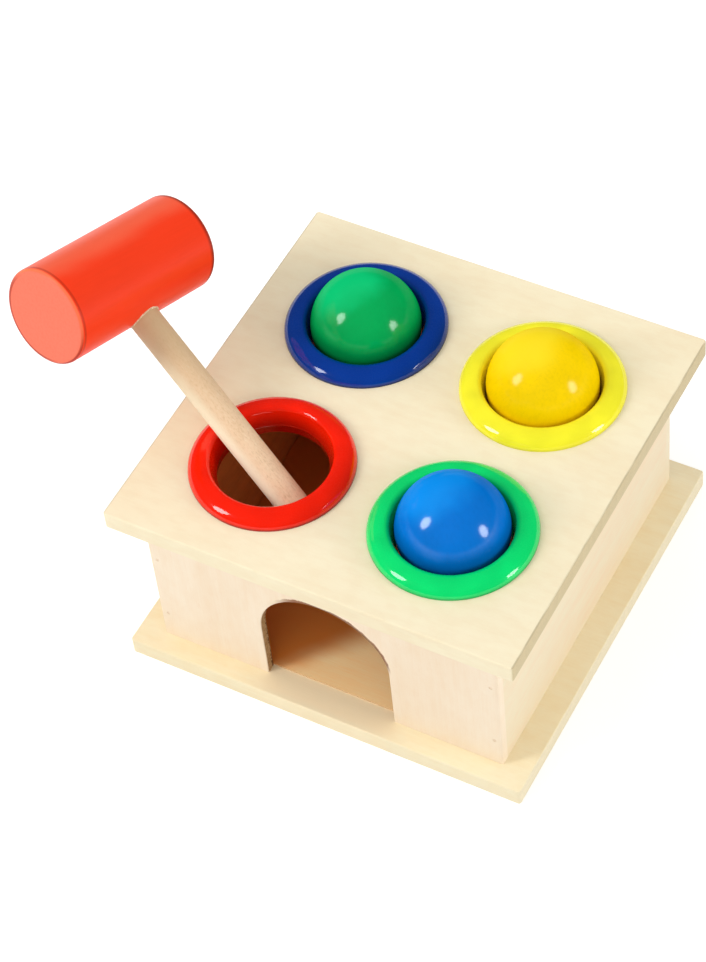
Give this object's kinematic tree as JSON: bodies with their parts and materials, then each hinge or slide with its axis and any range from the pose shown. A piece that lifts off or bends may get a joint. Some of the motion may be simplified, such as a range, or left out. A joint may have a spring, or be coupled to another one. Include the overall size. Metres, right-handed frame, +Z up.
{
  "type": "ball pounding bench",
  "caption": "Wooden box toy: balls are pounded through elastic rings with a mallet and roll out of an arched door.",
  "frame": {"origin": "middle of the base board's flat underside", "axes": "+Z up, the arched door faces -Y, +X to the right along the door's wall"},
  "size_m": [0.1796, 0.135, 0.1284],
  "materials": {
    "board_wood": "sanded, clear matt lacquer",
    "wall_wood": "sanded, clear matt lacquer",
    "inner_wood": "bare",
    "blue_rubber": "glossy",
    "yellow_rubber": "glossy",
    "green_rubber": "glossy",
    "red_rubber": "glossy",
    "green_paint": "gloss paint",
    "yellow_paint": "gloss paint",
    "blue_paint": "gloss paint",
    "red_paint": "satin paint",
    "dowel_wood": "sanded, bare",
    "brad_steel": "dull"
  },
  "bodies": {
    "box": {"base_board": "board_wood", "top_board": "board_wood", "front_wall": "wall_wood", "back_wall": "wall_wood", "left_wall": "wall_wood", "right_wall": "wall_wood", "ramp_board": "inner_wood", "ramp_cleat": "inner_wood", "wall_brads": "brad_steel", "base_brads": "brad_steel", "blue_ring": "blue_rubber", "yellow_ring": "yellow_rubber", "green_ring": "green_rubber", "red_ring": "red_rubber"},
    "green_ball": {"green_ball": "green_paint"},
    "yellow_ball": {"yellow_ball": "yellow_paint"},
    "blue_ball": {"blue_ball": "blue_paint"},
    "mallet": {"mallet_head": "red_paint", "mallet_handle": "dowel_wood"}
  },
  "joints": [
    {"name": "green_ball_drop", "type": "slide", "parent": "box", "child": "green_ball", "axis": [0, 0, -1], "range_m": [0, 0.0342], "deforming": ["blue_ring"]},
    {"name": "yellow_ball_drop", "type": "slide", "parent": "box", "child": "yellow_ball", "axis": [0, 0, -1], "range_m": [0, 0.0342], "deforming": ["yellow_ring"]},
    {"name": "blue_ball_drop", "type": "slide", "parent": "box", "child": "blue_ball", "axis": [0, 0, -1], "range_m": [0, 0.0427], "deforming": ["green_ring"]},
    {"name": "mallet_lift", "type": "slide", "parent": "box", "child": "mallet", "axis": [-0.8134, 0.2833, 0.5081], "range_m": [0, 0.075]}
  ]
}
